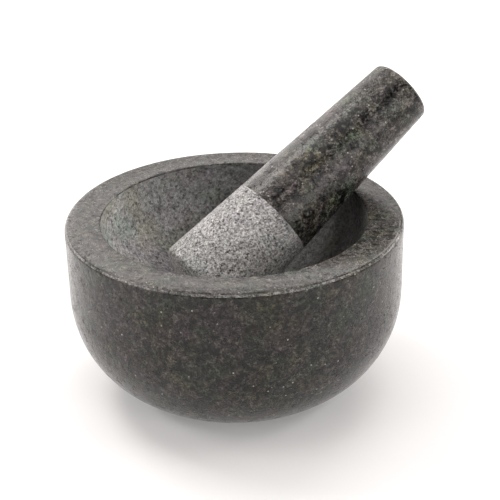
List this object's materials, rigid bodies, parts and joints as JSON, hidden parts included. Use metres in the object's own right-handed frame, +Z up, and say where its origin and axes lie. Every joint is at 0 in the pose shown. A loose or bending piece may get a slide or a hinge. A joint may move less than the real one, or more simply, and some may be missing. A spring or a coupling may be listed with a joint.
{
  "type": "mortar and pestle",
  "caption": "Turned granite mortar with a thick floor and flat rim, and a tapered granite pestle leaning in its round cavity.",
  "frame": {"origin": "centre of the bowl's flat base", "axes": "+Z up along the bowl's axis; the pestle's top points between +X and +Y, 31 degrees from +X; -Y is the front"},
  "size_m": [0.1628, 0.15, 0.1347],
  "materials": {
    "bowl_granite": "dark grey-green granite, polished outside and on the rim, matte ground cavity",
    "pestle_granite": "dark mottled granite, polished handle, rough pale ground head"
  },
  "bodies": {
    "mortar": {"mortar_bowl": "bowl_granite"},
    "pestle": {"pestle": "pestle_granite"}
  },
  "joints": [
    {"name": "pestle_lift", "type": "slide", "parent": "mortar", "child": "pestle", "axis": [0, 0, 1], "range_m": [0, 0.08]}
  ]
}
